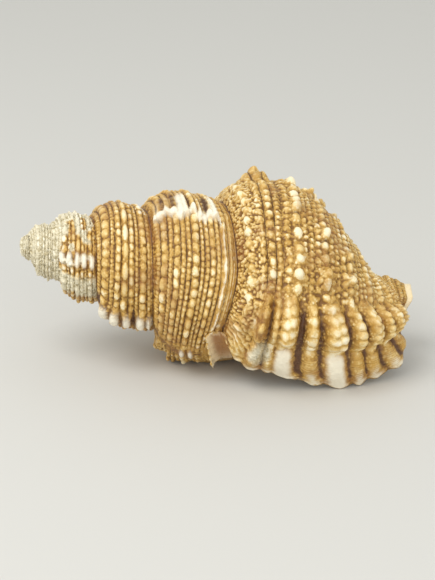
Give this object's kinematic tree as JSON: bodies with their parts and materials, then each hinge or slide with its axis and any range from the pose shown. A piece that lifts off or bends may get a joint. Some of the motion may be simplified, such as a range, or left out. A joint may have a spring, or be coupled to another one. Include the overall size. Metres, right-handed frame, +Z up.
{
  "type": "frog shell",
  "caption": "Large frog-shell sea snail shell with a tall knobbly spire, ribbed outer lip, anal trough and short siphonal canal.",
  "frame": {"origin": "on the plane the shell rests on, under the middle of its bounding box", "axes": "+X from the apex towards the siphonal canal, -Y towards the outer lip and the picture's camera, +Z up"},
  "size_m": [0.1588, 0.0908, 0.0748],
  "materials": {
    "shell_tan": "satin, uneven"
  },
  "bodies": {
    "root": {"frog_shell": "shell_tan"}
  },
  "joints": []
}
